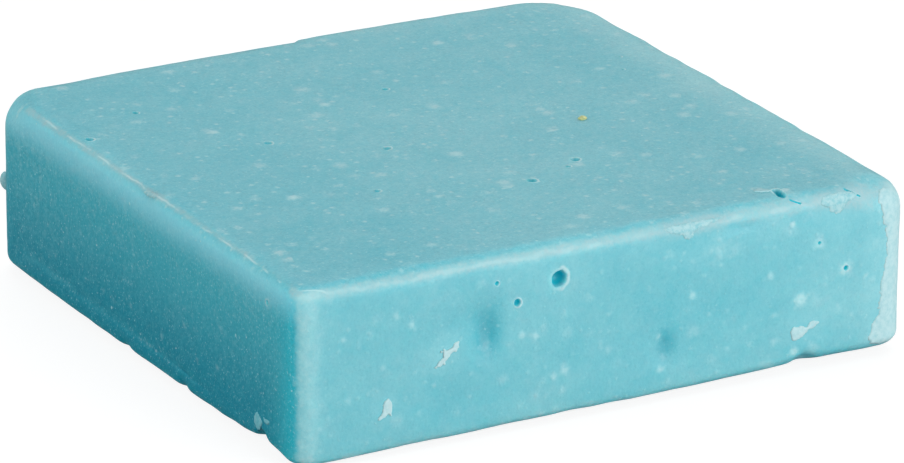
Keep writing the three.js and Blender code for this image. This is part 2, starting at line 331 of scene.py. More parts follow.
def hollow_depth(points):
    total = np.zeros(len(points))
    for face, u, v, half_width, half_height, depth in HOLLOWS:
        du, dv, out = face_offsets(points, face, u, v)
        near = bell(np.hypot(du / half_width, dv / half_height), 1.0) * bell(out, 2.5)
        total += depth * near
    return total


def edge_wobble(points):
    """Unevenness along the top and bottom edges."""
    x, y, z = points.T
    across = inset_from_outline(x, y)
    to_edge = np.minimum(np.hypot(across, HEIGHT - z), np.hypot(across, z))
    return EDGE_WOBBLE * bell(to_edge, 1.6) * noise(points, 2.2, 4)


def press_lip(points):
    """The lip and the groove of the press line, which fade before the left face's ends."""
    x, y, z = points.T
    along = smoothstep(-18.0, -8.0, y) * smoothstep(30.0, 22.0, y)
    level = PRESS_LINE_HEIGHT + PRESS_LINE_SLOPE * (y - 4.0) + 0.15 * noise(points, 3.0, 5)
    on_left = bell(np.minimum(x - LEFT, 3.0), 1.6)
    lip = PRESS_LIP * smoothstep(level + 0.1, level - 0.3, z)
    groove = PRESS_GROOVE * bell(z - level - 0.25, PRESS_GROOVE_WIDTH)
    return on_left * along * (lip - groove)


def gradient(distance_at, points, distance, reach):
    """The slope of a distance, from its value at the points and just beyond them."""
    steps = np.eye(points.shape[1]) * reach
    return np.stack([(distance_at(points + step) - distance) / reach for step in steps], axis=1)


def settle(starts, steps=5, reach=0.02, least_slope=0.2):
    """Moves points onto the block's skin, and gives the outward normals there."""
    points = np.array(starts, float)
    for _ in range(steps):
        distance = block_distance(points)
        slope = gradient(block_distance, points, distance, reach)
        steepness = np.maximum(np.sum(slope**2, axis=1), least_slope)
        points -= (distance / steepness)[:, None] * slope
    slope = gradient(block_distance, points, block_distance(points), reach)
    return points, slope / np.linalg.norm(slope, axis=1, keepdims=True)


# ---- Meshes ----


def graded(low, high, coarse):
    """Steps from low to high that are fine within a margin of either end."""
    count = round((high - low - 2 * EDGE_MARGIN) / coarse) + 1
    inner = np.linspace(low + EDGE_MARGIN, high - EDGE_MARGIN, count)
    edge = np.linspace(0, EDGE_MARGIN, round(EDGE_MARGIN / EDGE_STEP) + 1)[:-1]
    return np.concatenate([low + edge, inner, (high - edge)[::-1]])


def grid_quads(index):
    """The quads between the neighbours in a grid of vertex numbers."""
    corners = [index[:-1, :-1], index[1:, :-1], index[1:, 1:], index[:-1, 1:]]
    return np.stack([corner.ravel() for corner in corners], axis=1)


def box_grid():
    """The bar's six flat sides as one welded grid of quads."""
    lines = (
        graded(LEFT, RIGHT, FLAT_STEP),
        graded(FRONT, BACK, FLAT_STEP),
        graded(0.0, HEIGHT, UPRIGHT_STEP),
    )
    points, quads = [], []
    for axis in range(3):
        first, second = lines[(axis + 1) % 3], lines[(axis + 2) % 3]
        a, b = np.meshgrid(first, second, indexing="ij")
        for end, turned_over in ((lines[axis][0], True), (lines[axis][-1], False)):
            side = np.empty(a.shape + (3,))
            side[..., axis] = end
            side[..., (axis + 1) % 3] = a
            side[..., (axis + 2) % 3] = b
            start = sum(len(p) for p in points)
            quad = grid_quads(start + np.arange(a.size).reshape(a.shape))
            quads.append(quad[:, ::-1] if turned_over else quad)
            points.append(side.reshape(-1, 3))
    points = np.concatenate(points)
    _, first_use, welded = np.unique(
        np.round(points, 4), axis=0, return_index=True, return_inverse=True
    )
    return points[first_use], welded.ravel()[np.concatenate(quads)]


def bmesh_from(points, faces):
    bm = bmesh.new()
    verts = [bm.verts.new(point) for point in points]
    for face in faces:
        bm.faces.new([verts[i] for i in face])
    bm.verts.index_update()
    return bm


def taken_apart(bm):
    """A bmesh's points and faces. The bmesh is freed."""
    points = np.array([vert.co[:] for vert in bm.verts])
    faces = [[vert.index for vert in face.verts] for face in bm.faces]
    bm.free()
    return points, faces


def fine_zones():
    """Where the mesh is made finer: a centre, a reach and how many times its edges are halved."""
    zones = []
    for face, u, v, radius in placed(BUBBLES):
        zones.append((on_face(face, u, v), radius + 0.5, OPENING_LEVELS))
    for face, u, v, radius, _ in placed(HALOS):
        zones.append((on_face(face, u, v), radius + 0.4, SOFT_LEVELS))
    for face, u, v, *_ in SLOTS:
        zones.append((on_face(face, u, v), 1.3, OPENING_LEVELS))
    for face, u, v, radius, _ in BREAKS:
        zones.append((on_face(face, u, v), radius + 0.5, SOFT_LEVELS))
    return zones


def refine(bm):
    """Halves the mesh's edges around every mark, as often as the mark asks for."""
    zones = fine_zones()
    for level in range(1, OPENING_LEVELS + 1):
        margin = 0.35 / 2 ** (level - 1)
        bm.edges.ensure_lookup_table()
        middles = np.array([(e.verts[0].co + e.verts[1].co)[:] for e in bm.edges]) / 2
        near = np.zeros(len(middles), bool)
        for centre, reach, levels in zones:
            if levels >= level:
                near |= np.sum((middles - centre) ** 2, axis=1) < (reach + margin) ** 2
        edges = [bm.edges[i] for i in np.flatnonzero(near)]
        bmesh.ops.subdivide_edges(bm, edges=edges, cuts=1, use_grid_fill=True)


def openings():
    """Every bubble and cut, in the way that SLOTS gives a cut: a bubble is one without length."""
    bubbles = [
        (face, u, v, 0.0, 0.0, radius, BUBBLE_DEPTH * radius)
        for face, u, v, radius in placed(BUBBLES)
    ]
    return bubbles + SLOTS


def sink_openings(points, normals, masks):
    """Sinks each bubble and cut into the skin, and marks its inside, which takes a painted glow,
    and its rim, a pale ring painted lighter on its right side as a highlight.
    """
    for face, u, v, half_length, turn, half_width, depth in openings():
        du, dv, out = face_offsets(points, face, u, v, turn)
        beyond = np.maximum(np.abs(du) - half_length, 0.0)
        ragged = 1.0 + 0.14 * noise(points, 0.45, 6)
        ratio = np.hypot(beyond, dv) / (half_width * ragged)
        near = np.abs(out) < 1.5
        steep_bowl = np.clip(1.0 - ratio**2, 0.0, 1.0) ** 0.42
        rim = RIM_HEIGHT * bell(ratio - 1.22, 0.24) * min(1.0, half_width / 0.3)
        points += (near * (rim - depth * steep_bowl))[:, None] * normals
        # Painted glow: the inside of an opening is lit as if light shone through the clay.
        masks["deep"] = np.maximum(masks["deep"], near * smoothstep(1.02, 0.82, ratio))
        # The pale ring is painted lighter on its right side: a painted highlight where the rim
        # faces the light.
        lip = 0.60 + 0.30 * np.clip(du / half_width, -1.0, 1.0)
        masks["halo"] = np.maximum(masks["halo"], near * lip * bell(ratio - 1.3, 0.30))


def raise_halos(points, normals, masks):
    """A halo is a faint pale mound, with a pinhole in the middle of the larger ones."""
    for face, u, v, radius, strength in placed(HALOS):
        du, dv, out = face_offsets(points, face, u, v)
        ragged = 1.0 + 0.35 * noise(points, 0.45, 7) + 0.2 * noise(points, 0.2, 13)
        ratio = np.hypot(du, dv) / (radius * ragged)
        near = np.abs(out) < 1.0
        mound = HALO_MOUND * bell(ratio, 0.8)
        if radius > PINHOLE_FROM:
            mound -= PINHOLE_DEPTH * bell(ratio, 0.22)
        points += (near * strength * mound)[:, None] * normals
        glow = 0.92 * bell(ratio, 1.10)
        masks["halo"] = np.maximum(masks["halo"], near * strength * glow)


def break_edges(points):
    """Takes bites out of the bottom edge, pulling the skin in and up."""
    for face, u, v, radius, depth in BREAKS:
        du, dv, out = face_offsets(points, face, u, v)
        away = np.sqrt(du**2 + dv**2 + np.minimum(out, 0) ** 2)
        in_and_up = np.array([0.0, 0.0, 0.9]) - np.array(FACES[face][3], float)
        points += (depth * bell(away, 0.7 * radius))[:, None] * in_and_up


def wear_masks(points, normals):
    """The pale bands rubbed along the bar's edges: grey where they run along the top, where the
    grey is also painted shade, and clean pale clay on the upright and bottom edges, which along the
    front's bottom edge is also painted light."""
    near_front = smoothstep(3.0, 0.8, points[:, 1] - FRONT)
    ragged = 0.5 + 0.5 * noise(points, 1.3, 8)
    upright = 0.60 * upright_rub(points, normals)
    # Pale along the front's bottom edge: real wear, and painted light where the bottom fillet is in
    # shade.
    lower = bell(points[:, 2], 1.1) * near_front * (0.42 + 0.40 * smoothstep(0.35, 0.75, ragged))
    return {
        "rubbed": np.clip(top_rub(points, near_front, ragged), 0.0, 1.0),
        "halo": np.clip(np.maximum(upright, lower), 0.0, 1.0),
    }


def top_rub(points, near_front, ragged):
    """The rub along the top edge: on the crest, but low on the front's fillet and widest there,
    at its right."""
    x, y, z = points.T
    coarse = 0.5 + 0.5 * noise(points, 4.0, 10)
    across = -inset_from_outline(x, y) - 0.5 + 0.3 * near_front
    below_top = HEIGHT - z - 0.2 - 0.85 * near_front
    off_centre = np.maximum(np.hypot(across, below_top) - 0.12, 0.0)
    reach = 0.36 + near_front * (0.24 + 1.5 * smoothstep(-6.0, 18.0, x) * ragged * coarse)
    reach += 1.2 * near_front * smoothstep(20.0, 28.0, x) * ragged
    return (0.60 + 0.06 * near_front) * bell(off_centre, reach)


def upright_rub(points, normals):
    """The rub on the upright edges: only where it faces the front on the front left one, and
    stronger on the front right one."""
    x, y, _ = points.T
    at_right, at_front = x > 0, y < 0
    to_corner = np.hypot(RIGHT - np.abs(x), BACK - np.abs(y))
    rub = bell(np.maximum(to_corner - 0.9, 0.0), 1.8) * (-inset_from_outline(x, y) < 2.5)
    towards_front = smoothstep(0.30, 0.75, -normals[:, 1] + 2.0 * at_right)
    rub *= np.where(at_front, towards_front, 1.0)
    return rub * (1.0 + 0.6 * at_right * at_front)


def facing(normals):
    """How squarely the skin faces the way that each face does, from 0 to 1."""
    return {
        face: np.clip(normals @ np.array(vectors[3], float), 0.0, 1.0) ** 2
        for face, vectors in FACES.items()
    }


def bloom_and_sheen_mask(points, sides):
    """The pale haze, partly real bloom and partly a painted sheen: a little more at the front's
    right end, far back on the left, high on the left as painted light, and on the top's middle and
    its right and back edges; less at the top's left, and less in hollows as painted shade."""
    x, y, z = points.T
    bloom_and_sheen = sum(amount * sides[face] for face, amount in BLOOM_AND_SHEEN_ON.items())
    upper = smoothstep(HEIGHT - 4.0, HEIGHT - 1.0, z)
    bloom_and_sheen += (0.07 * smoothstep(0.0, BACK, y) + 0.30 * upper) * sides["left"]
    bloom_and_sheen += 0.08 * sides["front"] * smoothstep(18.0, 32.0, x)
    bloom_and_sheen += 0.06 * sides["top"] * bell(np.hypot(x, y), 14.0)
    bloom_and_sheen -= 0.09 * sides["top"] * smoothstep(-6.0, -24.0, x)
    bloom_and_sheen += 0.42 * sides["top"] * smoothstep(9.0, 1.5, RIGHT - x)
    bloom_and_sheen += 0.25 * sides["top"] * smoothstep(7.0, 1.5, BACK - y)
    cloud = 1.0 + 0.22 * noise(points, 7.0, 11) + 0.10 * noise(points, 2.2, 12)
    return np.clip(bloom_and_sheen * cloud - 0.5 * np.minimum(hollow_depth(points), 0.5), 0.0, 1.0)


def tone_masks(points, normals):
    """How much the skin takes its pale haze (partly a painted sheen), the painted shade low on the
    left face, the painted light of clay lit from within, and specks.
    """
    _, y, z = points.T
    sides = facing(normals)
    left, right, back = sides["left"], sides["right"], sides["back"]
    near_front = bell(y - FRONT, 3.6)
    low = smoothstep(0.85 * HEIGHT, 0.05 * HEIGHT, z)
    fade = (1.0 - 0.85 * near_front) * (1.0 - 0.12 * smoothstep(0.0, BACK, y))
    under_top = smoothstep(HEIGHT - 5.0, HEIGHT - 0.8, z)
    return {
        "bloom_and_sheen": bloom_and_sheen_mask(points, sides),
        # Painted shade: the left face darker towards its bottom, less so near its front edge and
        # towards its back.
        "bare": left * low * fade,
        "glow": 0.80 * left * near_front,
        "lit_edge": (0.64 * left + 0.3 * (right + back)) * under_top,
        "speckle": sum(amount * sides[face] for face, amount in SPECKLE_ON.items()),
    }


def near_left_edge(points):
    return smoothstep(LEFT + 4.0, LEFT + 1.5, points[:, 0])


def crest_turn(points, normals):
    """The skin's turn from the painted highlight line: low on the front's fillet, high on the
    left's. It counts double on the left, where the line is half as wide."""
    turn = np.arcsin(np.clip(normals[:, 2], -1.0, 1.0)) / (math.pi / 2)
    left = near_left_edge(points)
    return (turn - FRONT_CREST - (LEFT_CREST - FRONT_CREST) * left) * (1.0 + left)


def crest_strength(points):
    """The painted highlight line is strongest on the left edge, and fades before the back and the
    right.
    """
    fade = smoothstep(26.0, 20.0, points[:, 0]) * smoothstep(26.0, 18.0, points[:, 1])
    return fade * (0.35 + 0.65 * near_left_edge(points))


def covered_mask(points):
    """1 under and around the scraps of clay, and on the front right upright edge."""
    past_edge = np.maximum(RIGHT - 4.5 - points[:, 0], points[:, 1] - FRONT - 5.0)
    total = smoothstep(1.2, 0.0, past_edge)
    for face, u, v, reach in SCRAP_PLACES.values():
        du, dv, out = face_offsets(points, face, u, v)
        near = smoothstep(reach + 0.9, reach, np.sqrt(du**2 + dv**2 + out**2))
        total = np.maximum(total, near)
    return total


def object_from(name, points, faces, material, masks=None):
    """A smooth mesh object from millimetre points, with masks as its vertices' attributes."""
    mesh = bpy.data.meshes.new(name)
    mesh.from_pydata((np.asarray(points) * MM).tolist(), [], [list(map(int, f)) for f in faces])
    mesh.update()
    for mask, values in (masks or {}).items():
        attribute = mesh.attributes.new(mask, "FLOAT", "POINT")
        attribute.data.foreach_set("value", np.asarray(values, np.float32))
    mesh.shade_smooth()
    mesh.materials.append(material)
    obj = bpy.data.objects.new(name, mesh)
    bpy.context.scene.collection.objects.link(obj)
    return obj


def stand_in(obj, node):
    """Puts a piece on the one body, in place of its CAD node."""
    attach(obj, "root")
    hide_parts(node)


def build_block(material):
    bm = bmesh_from(*box_grid())
    refine(bm)
    starts, faces = taken_apart(bm)
    points, normals = settle(starts)
    masks = {
        **wear_masks(points, normals),
        "deep": np.zeros(len(points)),
        "covered": covered_mask(points),
        "crest_turn": crest_turn(points, normals),
        "crest": crest_strength(points),
        **tone_masks(points, normals),
    }
    raise_halos(points, normals, masks)
    sink_openings(points, normals, masks)
    break_edges(points)
    points[:, 2] = np.maximum(points[:, 2], 0.0)
    block = object_from("clay_block_skin", points, faces, material, masks)
    stand_in(block, "clay_block")


# ---- Scraps of clay ----


def rounded_loop(corners, steps=6):
    """A closed smooth curve through given corners (Catmull-Rom)."""
    corners = np.array(corners, float)
    before, after = np.roll(corners, 1, axis=0), np.roll(corners, -1, axis=0)
    beyond = np.roll(corners, -2, axis=0)
    curve = []
    for t in np.arange(steps) / steps:
        curve.append(
            0.5
            * (
                2 * corners
                + (after - before) * t
                + (2 * before - 5 * corners + 4 * after - beyond) * t**2
                + (3 * corners - before - 3 * after + beyond) * t**3
            )
        )
    return np.stack(curve, axis=1).reshape(-1, 2)


def loop_distance(points, loop):
    """Signed distance of flat points from a closed loop, negative inside."""
    nearest = np.full(len(points), np.inf)
    inside = np.zeros(len(points), bool)
    for start, end in zip(loop, np.roll(loop, -1, axis=0)):
        edge, arm = end - start, points - start
        along = np.clip(arm @ edge / (edge @ edge), 0.0, 1.0)
        nearest = np.minimum(nearest, np.linalg.norm(arm - along[:, None] * edge, axis=1))
        crosses = (start[1] > points[:, 1]) != (end[1] > points[:, 1])
        if start[1] != end[1]:
            reach = start[0] + (points[:, 1] - start[1]) * edge[0] / edge[1]
            inside ^= crosses & (points[:, 0] < reach)
    return np.where(inside, -nearest, nearest)


def flake_grid(loop, spacing, ragged, seed):
    """Quads that fill a loop with a ragged outline: flat points, quads and depths inside."""
    low, high = loop.min(axis=0) - spacing * 2, loop.max(axis=0) + spacing * 2
    a, b = np.meshgrid(
        np.arange(low[0], high[0], spacing), np.arange(low[1], high[1], spacing), indexing="ij"
    )
    flat = np.stack([a.ravel(), b.ravel()], axis=1)

    def ragged_distance(places):
        solid = np.column_stack([places, np.full(len(places), 0.5 * seed)])
        rough = 0.6 * noise(solid, 0.45, seed) + 0.4 * noise(solid, 0.17, seed + 1)
        return loop_distance(places, loop) + ragged * rough

    distance = ragged_distance(flat)
    quads = grid_quads(np.arange(a.size).reshape(a.shape))
    quads = quads[np.all(distance[quads] < 0.35 * spacing, axis=1)]
    used, quads = np.unique(quads, return_inverse=True)
    quads = quads.reshape(-1, 4)
    flat, distance = flat[used], distance[used]
    slope = gradient(ragged_distance, flat, distance, 0.3 * spacing)
    on_rim = np.isin(np.arange(len(flat)), rim_edges(quads))
    steepness = np.maximum(np.linalg.norm(slope, axis=1), 0.3)
    pull = np.clip(distance / steepness**2, -0.6 * spacing, 0.6 * spacing)
    flat = flat - np.where(on_rim, pull, 0.0)[:, None] * slope
    return flat, quads, np.where(on_rim, 0.0, np.maximum(-distance, 0.0))


def rim_edges(quads):
    """The directed edges that only one quad uses."""
    edges = np.concatenate([quads[:, [i, (i + 1) % 4]] for i in range(4)])
    known = set(map(tuple, edges.tolist()))
    return np.array([edge for edge in edges.tolist() if (edge[1], edge[0]) not in known])


def turned(flat, angle):
    cos, sin = math.cos(angle), math.sin(angle)
    return flat @ np.array([[cos, sin], [-sin, cos]])


def lay_on(face, u, v, mirror=1.0):
    """Lays flat points on a face around a place. On a side face, what would reach past the top
    edge is folded over onto the top."""
    inwards = -np.array(FACES[face][3], float)

    def lay(flat):
        height = v + flat[:, 1]
        start = on_face(face, u + mirror * flat[:, 0], np.minimum(height, HEIGHT))
        return start + np.multiply.outer(np.maximum(height - HEIGHT, 0.0), inwards)

    return lay


def lay_round_right_corner(flat):
    """Lays flat points around the front right upright edge: x runs from the front to the right."""
    x = RIGHT + np.minimum(flat[:, 0], 0.0)
    y = FRONT + np.maximum(flat[:, 0], 0.0)
    return np.column_stack([x, y, flat[:, 1]])


# A scrap's look where its own call doesn't say: lengths in millimetres, the rest from 0 to 1, and
# the turn in radians. Its edge is the width of its rounded rim.
PLAIN_SCRAP = dict(
    thickness=0.12, spacing=0.09, ragged=0.10, edge=0.16, lumps=0.45,
    curl=0.0, turn=0.0, bare=0.0, dry=0.0,
)
RIM_THICKNESS = 0.25
SUNK_BELOW_SKIN = 0.04


def scrap(node, loop, material, seed, lay=None, name=None, **look):
    """A thin scrap of clay pressed onto the block, replacing its plain CAD solid."""
    look = {**PLAIN_SCRAP, **look}
    lay = lay or lay_on(*SCRAP_PLACES[node][:3])
    flat, quads, inside = flake_grid(rounded_loop(loop), look["spacing"], look["ragged"], seed)
    base, normals = settle(lay(turned(flat, look["turn"])))
    lumps = 0.6 * noise(base, 0.5, seed + 2) + 0.4 * noise(base, 0.22, seed + 3)
    dome = 1.0 - np.exp(-((inside / look["edge"]) ** 1.2))
    profile = RIM_THICKNESS + (1.0 - RIM_THICKNESS) * dome
    height = look["thickness"] * profile * (1.0 + look["lumps"] * lumps)
    curl = look["curl"] * smoothstep(0.35, 0.0, inside)
    upper = base + (height + curl)[:, None] * normals
    lower = base + (0.6 * curl - SUNK_BELOW_SKIN)[:, None] * normals
    count = len(base)
    rim = rim_edges(quads)
    walls = np.column_stack([rim[:, 1], rim[:, 0], rim[:, 0] + count, rim[:, 1] + count])
    points = np.concatenate([upper, lower])
    faces = np.concatenate([quads, quads[:, ::-1] + count, walls])
    masks = {tone: np.full(2 * count, look[tone]) for tone in ("bare", "dry")}
    obj = object_from(name or f"{node}_skin", points, faces, material, masks)
    face_outwards(obj)
    stand_in(obj, node)


def face_outwards(obj):
    bm = bmesh.new()
    bm.from_mesh(obj.data)
    bmesh.ops.recalc_face_normals(bm, faces=bm.faces)
    bm.to_mesh(obj.data)
    bm.free()


def build_front_scraps(material):
    """The scraps stuck flat on the front face."""
    lobed = [(-1.4, -0.75), (-0.35, -0.65), (0.25, -0.2), (1.0, 0.1), (1.55, 0.6)]
    lobed += [(0.75, 0.8), (0.25, 0.3), (-0.45, 0.45), (-1.45, 0.4)]
    scrap(
        "lobed_scrap", lobed, material,
        seed=21, thickness=0.09, ragged=0.20, curl=0.03, dry=0.35,
    )
    shaving = [(-1.25, -1.1), (-0.75, -0.95), (-0.2, -0.6), (0.35, 0.0), (0.9, 0.4), (1.2, 1.1)]
    shaving += [(0.75, 1.0), (0.25, 0.6), (-0.3, 0.75), (-0.6, 0.45), (-0.5, 0.0), (-0.9, -0.5)]
    scrap(
        "long_shaving", shaving, material,
        seed=31, ragged=0.34, spacing=0.07, curl=0.06, dry=0.45,
    )
    torn = [(-0.75, -1.0), (-0.1, -0.85), (0.2, -0.6), (0.6, -0.95), (0.65, -0.1)]
    torn += [(0.35, 1.0), (-0.1, 0.8), (-0.35, 0.0)]
    scrap(
        "torn_chip", torn, material,
        seed=41, thickness=0.13, ragged=0.30, spacing=0.07, curl=0.05, dry=0.45,
    )


def build_edge_scraps(material):
    """The scraps along the top's edges, and the flake at the rim of the pit."""
    patch = [(-3.2, 0.6), (-2.2, -0.1), (-1.3, -0.35), (-0.9, -0.8), (-0.1, -0.7), (0.5, -0.1)]
    patch += [(1.8, 0.25), (3.2, 0.75), (1.5, 0.95), (-1.0, 0.95)]
    scrap("crumbled_patch", patch, material, seed=51, thickness=0.06, ragged=0.32, edge=0.3)
    lip = [(-2.2, 0.2), (-1.3, -0.4), (-0.9, -1.0), (-0.1, -1.1), (0.5, -0.5), (1.6, 0.2)]
    lip += [(2.2, 0.6), (1.5, 1.0), (0.6, 1.4), (-0.6, 1.3), (-1.8, 1.0)]
    scrap("folded_lip", lip, material, seed=61, thickness=0.07, ragged=0.26, edge=0.3)
    rim_flake = [(-0.9, -0.3), (0.0, -0.4), (0.7, 0.05), (0.1, 0.4), (-0.7, 0.35)]
    scrap("pit_flake", rim_flake, material, seed=71, ragged=0.14, curl=0.06, turn=-0.5)
    ridge = [(-1.3, -0.4), (-0.2, -0.5), (1.0, -0.3), (0.9, 0.35), (0.0, 0.5), (-0.9, 0.3)]
    on_ridge = lay_on("left", -2.1, HEIGHT, mirror=-1.0)
    scrap("ridge_chip", ridge, material, seed=81, lay=on_ridge, ragged=0.16)


def build_notch_crumbs(material):
    """The two crumbs above the notch in the left face's bottom edge."""
    crumb = [(-0.8, -0.5), (0.0, -0.7), (0.7, -0.3), (0.65, 0.4), (0.0, 0.75), (-0.75, 0.4)]
    scrap(
        "notch_crumb", crumb, material,
        seed=91, thickness=0.14, ragged=0.36, edge=0.25, bare=0.50,
    )
    fleck = [(-0.5, -0.2), (0.2, -0.35), (0.5, 0.1), (0.0, 0.35), (-0.4, 0.25)]
    scrap(
        "notch_fleck", fleck, material,
        seed=101, thickness=0.14, ragged=0.26, edge=0.2, bare=0.50,
    )


def build_corner_skin(material):
    """The thin skin smeared around the front right upright edge."""
    skin = [(-3.9, 1.4), (0.5, 1.0), (4.2, 1.4), (4.6, 8.5), (4.2, 17.6), (0.0, 18.3)]
    skin += [(-2.8, 18.2), (-3.6, 17.0), (-2.9, 12.6), (-2.9, 9.2), (-3.3, 6.8), (-3.5, 4.6)]
    skin += [(-4.3, 3.0)]
    scrap(
        "corner_skin", skin, material, lay=lay_round_right_corner, name="corner_skin_smear",
        seed=111, thickness=0.05, ragged=0.55, spacing=0.13, edge=0.5, lumps=0.2, dry=0.30,
    )


def build_lump(name, node, centre, size, material, seed, facets=0.0):
    """A small irregular lump: a ball pushed in and out by noise, then squashed."""
    bm = bmesh.new()
    bmesh.ops.create_icosphere(bm, subdivisions=4, radius=1.0)
    points, faces = taken_apart(bm)
    bumps = 0.22 * noise(points, 0.9, seed) + 0.10 * noise(points, 0.4, seed + 1)
    steps = facets * np.abs(noise(points, 0.7, seed + 2))
    points = points * (1.0 + bumps - steps)[:, None] * np.array(size)
    obj = object_from(name, points + np.array(centre), faces, material)
    stand_in(obj, node)


NODULE_BEARING, NODULE_HEIGHT, NODULE_PROUD = math.radians(149), 9.2, 0.12
NODULE_SIZE = (0.50, 0.50, 0.95)


def build_nodule(material):
    """The round crumb on the back left upright edge."""
    foot = np.array([LEFT + BACK_LEFT_RADIUS, BACK - BACK_LEFT_RADIUS, NODULE_HEIGHT])
    bearing = np.array([math.cos(NODULE_BEARING), math.sin(NODULE_BEARING), 0.0])
    centre = foot + (BACK_LEFT_RADIUS + NODULE_PROUD) * bearing
    build_lump(
        "side_nodule_skin", "side_nodule", centre, NODULE_SIZE, material, seed=131
    )


GRAIN_PLACE, GRAIN_PROUD = ("top", 13.5, -3.9), 0.05
GRAIN_SIZE = (0.46, 0.36, 0.30)


def build_grain(material):
    """The yellow grain of grit in the top."""
    settled, _ = settle(on_face(*GRAIN_PLACE)[None])
    centre = settled[0] + np.array([0.0, 0.0, GRAIN_PROUD])
    build_lump(
        "grit_grain_stone", "grit_grain", centre, GRAIN_SIZE, material, seed=141,
        facets=0.3,
    )


# ---- Materials ----


class Graph:
    """A material's node tree, on coordinates in millimetres."""

    def __init__(self, name):
        self.material = bpy.data.materials.new(name)
        self.material.use_nodes = True
        self.tree = self.material.node_tree
        self.shader = self.tree.nodes["Principled BSDF"]
        place = self.tree.nodes.new("ShaderNodeTexCoord").outputs["Object"]
        scale = self.tree.nodes.new("ShaderNodeVectorMath")
        scale.operation = "SCALE"
        scale.inputs["Scale"].default_value = 1.0 / MM
        self.link(place, scale.inputs[0])
        self.mm = scale.outputs[0]

    def link(self, source, socket):
        """Links an output to a socket, or sets the socket to a plain value."""
        if isinstance(source, bpy.types.NodeSocket):
            self.tree.links.new(source, socket)
        else:
            socket.default_value = source

    def noise(self, grain, detail=2.0, rough=0.5):
        """Noise from 0 to 1 whose lumps are about one grain (mm) across."""
        node = self.tree.nodes.new("ShaderNodeTexNoise")
        node.inputs["Scale"].default_value = 1.0 / grain
        node.inputs["Detail"].default_value = detail
        node.inputs["Roughness"].default_value = rough
        self.link(self.mm, node.inputs["Vector"])
        return node.outputs["Fac"]

    def ripple(self, strength, grain, detail, rough=0.5):
        """Noise around zero, times a strength."""
        around_zero = self.calc("SUBTRACT", self.noise(grain, detail, rough), 0.5)
        return self.calc("MULTIPLY", around_zero, strength)

    def calc(self, operation, a, b=0.0, clamp=False):
        node = self.tree.nodes.new("ShaderNodeMath")
        node.operation = operation
        node.use_clamp = clamp
        self.link(a, node.inputs[0])
        self.link(b, node.inputs[1])
        return node.outputs[0]

    def add(self, base, value, times, clamp=False):
        """The base plus so many times the value."""
        return self.calc("ADD", base, self.calc("MULTIPLY", value, times), clamp)

    def opposite(self, value):
        return self.calc("SUBTRACT", 1.0, value)

    def rise(self, value, low, high, to=1.0):
        """0 below low and `to` above high, with a smooth rise between."""
        node = self.tree.nodes.new("ShaderNodeMapRange")
        node.interpolation_type = "SMOOTHSTEP"
        self.link(value, node.inputs["Value"])
        self.link(low, node.inputs["From Min"])
        self.link(high, node.inputs["From Max"])
        node.inputs["To Max"].default_value = to
        return node.outputs["Result"]

    def blend(self, amount, a, b):
        node = self.tree.nodes.new("ShaderNodeMix")
        node.data_type = "RGBA"
        self.link(amount, node.inputs["Factor"])
        self.link(a, node.inputs["A"])
        self.link(b, node.inputs["B"])
        return node.outputs["Result"]

    def painted(self, body, *layers):
        """A colour under layers of others, each an amount and a colour."""
        for amount, layer in layers:
            body = self.blend(amount, body, layer)
        return body

    def mask(self, name):
        node = self.tree.nodes.new("ShaderNodeAttribute")
        node.attribute_name = name
        return node.outputs["Fac"]

    def torn_mask(self, name, tear, low, to):
        """A mask whose edge is torn by a ripple."""
        return self.rise(self.calc("ADD", self.mask(name), tear), low, 0.95, to)

    def specks(self, cell, biggest):
        """Scattered ragged spots of many sizes, one in most cells, up to `biggest` across."""
        node = self.tree.nodes.new("ShaderNodeTexVoronoi")
        node.inputs["Scale"].default_value = 1.0 / cell
        self.link(self.mm, node.inputs["Vector"])
        size = self.tree.nodes.new("ShaderNodeSeparateColor")
        self.link(node.outputs["Color"], size.inputs[0])
        reach = self.rise(size.outputs[0], 0.45, 1.0, 0.5 * biggest / cell)
        tear = self.ripple(0.6 * biggest / cell, 0.35, 3.0)
        distance = self.calc("ADD", node.outputs["Distance"], tear)
        edge = self.calc("ADD", reach, 0.001)
        return self.opposite(self.rise(distance, 0.0, edge))

    def bump(self, height, depth):
        """Turns a height from 0 to 1 into relief of that depth in millimetres."""
        node = self.tree.nodes.new("ShaderNodeBump")
        node.inputs["Strength"].default_value = 1.0
        node.inputs["Distance"].default_value = depth * MM
        self.link(height, node.inputs["Height"])
        self.link(node.outputs["Normal"], self.shader.inputs["Normal"])

    def set(self, **values):
        for name, value in values.items():
            self.link(value, self.shader.inputs[name.replace("_", " ")])


def colour(r, g, b):
    """A colour given in the display's 0 to 255, as linear light."""
    channels = [c / 255 for c in (r, g, b)]
    linear = [c / 12.92 if c <= 0.04045 else ((c + 0.055) / 1.055) ** 2.4 for c in channels]
    return (*linear, 1.0)


# The clay itself; its pale haze, partly real bloom and partly a painted sheen; dark specks painted
# as the shade of fine pits; a painted glow of light through the clay, in openings and near the left
# face's front edge; and the painted shade low on the left face.
CORE = colour(62, 180, 197)
BLOOM_AND_SHEEN = colour(156, 212, 218)
SHADE = colour(20, 118, 138)
PAINTED_GLOW = colour(0, 188, 205)
LOW_LEFT_SHADE = colour(0, 142, 165)

# Specks and halos; rubbed edges, painted greyer as shade; the whitest clay, a painted highlight
# along the crest and the dried clay of the scraps; and the painted light of an edge lit from
# within.
PALE = colour(186, 224, 227)
RUBBED_AND_SHADED = colour(170, 199, 204)
HIGHLIGHT_AND_DRY_CLAY = colour(210, 232, 234)
LIT = colour(155, 231, 245)

# The scraps of clay and the grain of grit, each in two tones.
SCRAP_LIGHT, SCRAP_DARK = colour(172, 212, 217), colour(134, 196, 205)
GRIT_LIGHT, GRIT_DARK = colour(204, 208, 148), colour(170, 184, 128)

